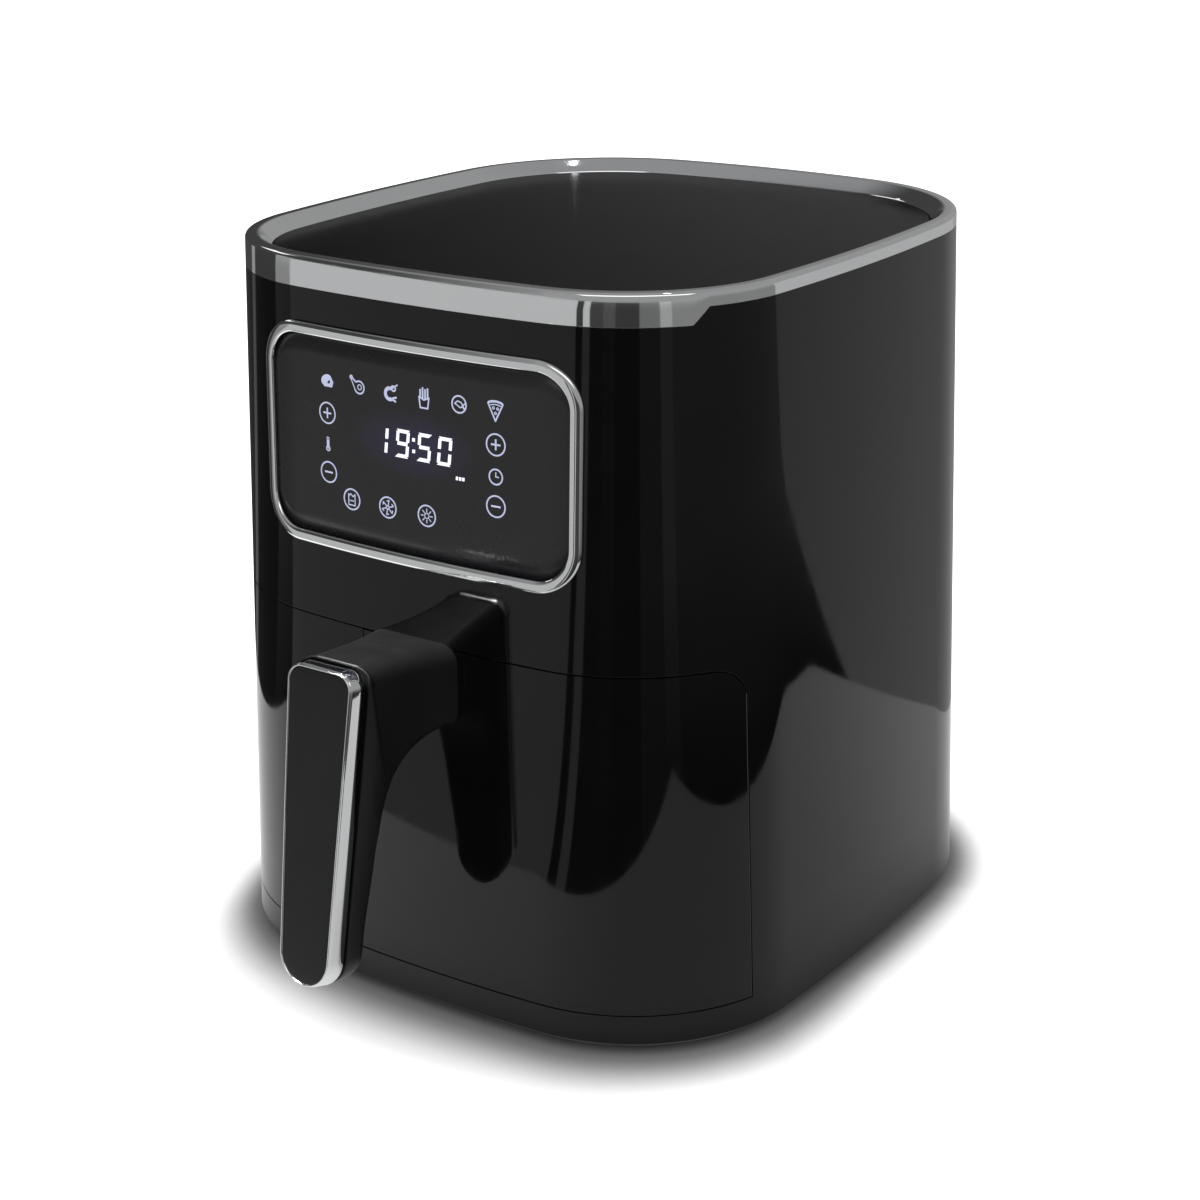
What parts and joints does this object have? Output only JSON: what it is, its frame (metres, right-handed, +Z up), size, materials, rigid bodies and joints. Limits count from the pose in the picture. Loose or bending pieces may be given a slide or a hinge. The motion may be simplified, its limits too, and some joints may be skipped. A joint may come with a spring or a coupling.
{
  "type": "air fryer",
  "caption": "Tapered digital air fryer with rounded corners, stepped chrome top trim, framed touch panel and a pull-out pan drawer with a leaning handle.",
  "frame": {"origin": "centre of the whole appliance's footprint, handle included, on the surface it stands on", "axes": "+Z up; the front with the panel and handle faces -Y; +X is to the right when looking along +Y at the front"},
  "size_m": [0.2746, 0.3714, 0.31],
  "materials": {
    "gloss_black": "high-gloss black moulded ABS",
    "satin_black": "fine satin black moulded plastic",
    "inner_black": "plain black moulded plastic",
    "chrome_trim": "electroplated bright chrome on plastic",
    "panel_black": "dark tinted touch panel",
    "nonstick": "dark grey non-stick coating on sheet steel",
    "silicone": "black silicone",
    "foot_rubber": "black rubber",
    "sheet_steel": "aluminised sheet steel",
    "screw_steel": "zinc-plated steel",
    "heater_tube": "heat-stained stainless tube",
    "fan_aluminium": "pressed aluminium",
    "motor_core": "laminated steel",
    "bronze": "sintered bronze",
    "circuit_green": "green solder mask",
    "circuit_parts": "dark component plastic"
  },
  "bodies": {
    "housing": {"outer_housing": "gloss_black", "side_screw_plugs": "gloss_black", "top_cover": "satin_black", "base_plate": "satin_black", "exhaust_grille": "satin_black", "cavity_frame": "inner_black", "panel_carrier": "inner_black", "rear_support": "inner_black", "exhaust_duct": "inner_black", "door_switch": "inner_black", "cord_gland": "inner_black", "led_display": "inner_black", "drawer_rails": "inner_black", "top_trim_ring": "chrome_trim", "control_bezel": "chrome_trim", "control_glass": "panel_black", "foot_front_left": "foot_rubber", "foot_front_right": "foot_rubber", "foot_rear_left": "foot_rubber", "foot_rear_right": "foot_rubber", "cavity_liner": "sheet_steel", "heater_dome": "sheet_steel", "motor_bridge": "sheet_steel", "heater_guard": "sheet_steel", "coil_brackets": "sheet_steel", "heat_shield": "sheet_steel", "base_screws": "screw_steel", "motor_screws": "screw_steel", "touch_springs": "screw_steel", "heating_coil": "heater_tube", "temperature_probe": "heater_tube", "thermal_cutout": "heater_tube", "fan_motor": "motor_core", "motor_bushes": "bronze", "control_board": "circuit_green", "power_board": "circuit_green", "board_components": "circuit_parts", "board_posts": "circuit_parts", "ribbon_cable": "circuit_parts"},
    "drawer": {"drawer_front": "gloss_black", "drawer_backplate": "inner_black", "handle_root_plate": "gloss_black", "pan_bracket": "sheet_steel", "drawer_pan": "nonstick", "handle_core": "satin_black", "handle_trim": "chrome_trim", "handle_inlay": "satin_black", "handle_screws": "screw_steel"},
    "crisper": {"crisper_plate": "nonstick", "plate_bumpers": "silicone"},
    "fan": {"convection_fan": "fan_aluminium", "cooling_fan": "fan_aluminium", "fan_nut": "screw_steel", "fan_shaft": "screw_steel", "motor_rotor": "motor_core"},
    "switch_plunger_body": {"switch_plunger": "circuit_parts"}
  },
  "joints": [
    {"name": "drawer_slide", "type": "slide", "parent": "housing", "child": "drawer", "axis": [0, -1, 0], "range_m": [0, 0.26]},
    {"name": "plate_lift", "type": "slide", "parent": "drawer", "child": "crisper", "axis": [0, 0, 1], "range_m": [0, 0.1]},
    {"name": "fan_spin", "type": "hinge", "parent": "housing", "child": "fan", "pos_m": [0, 0.04734, 0.2], "axis": [0, 0, 1], "continuous": true},
    {"name": "switch_travel", "type": "slide", "parent": "housing", "child": "switch_plunger_body", "axis": [0, -1, 0], "range_m": [0, 0.003]}
  ],
  "couplings": [
    {"joint": "switch_travel", "follows": "drawer_slide", "ratio": 0.0115}
  ]
}
